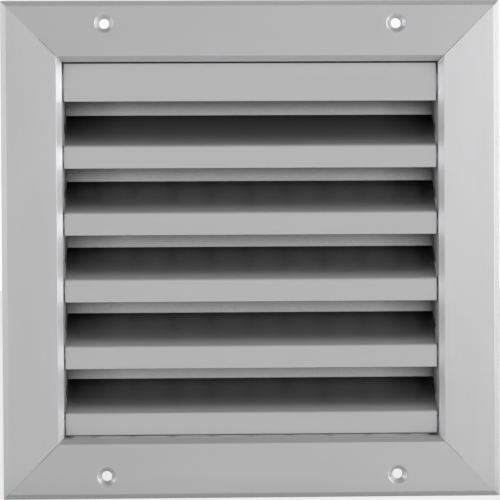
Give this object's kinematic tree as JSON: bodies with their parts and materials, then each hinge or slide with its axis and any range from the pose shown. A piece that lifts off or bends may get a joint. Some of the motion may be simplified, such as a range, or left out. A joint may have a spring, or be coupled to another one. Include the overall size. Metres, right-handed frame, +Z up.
{
  "type": "weather grille",
  "caption": "Square aluminium weather grille: mitred flange frame with dimpled screw holes, fixed sloping louvre blades with rear upstands, and a wire bird screen behind.",
  "frame": {"origin": "middle of the fixing hole pattern, in the plane that lies on the wall", "axes": "+Z up, front of the grille towards -Y, into the wall towards +Y, +X to the right seen from the front"},
  "size_m": [0.247, 0.0319, 0.247],
  "materials": {
    "frame_aluminium": "satin natural anodised",
    "blade_aluminium": "satin natural anodised",
    "key_steel": "stamped stainless steel",
    "screw_steel": "stainless steel",
    "screen_wire": "galvanised"
  },
  "bodies": {
    "root": {"top_rail": "frame_aluminium", "bottom_rail": "frame_aluminium", "left_stile": "frame_aluminium", "right_stile": "frame_aluminium", "head_blade": "blade_aluminium", "louvre_blade_1": "blade_aluminium", "louvre_blade_2": "blade_aluminium", "louvre_blade_3": "blade_aluminium", "louvre_blade_4": "blade_aluminium", "louvre_blade_5": "blade_aluminium", "corner_key_top_left": "key_steel", "corner_key_top_right": "key_steel", "corner_key_bottom_left": "key_steel", "corner_key_bottom_right": "key_steel", "blade_screws": "screw_steel", "bird_screen": "screen_wire"}
  },
  "joints": []
}
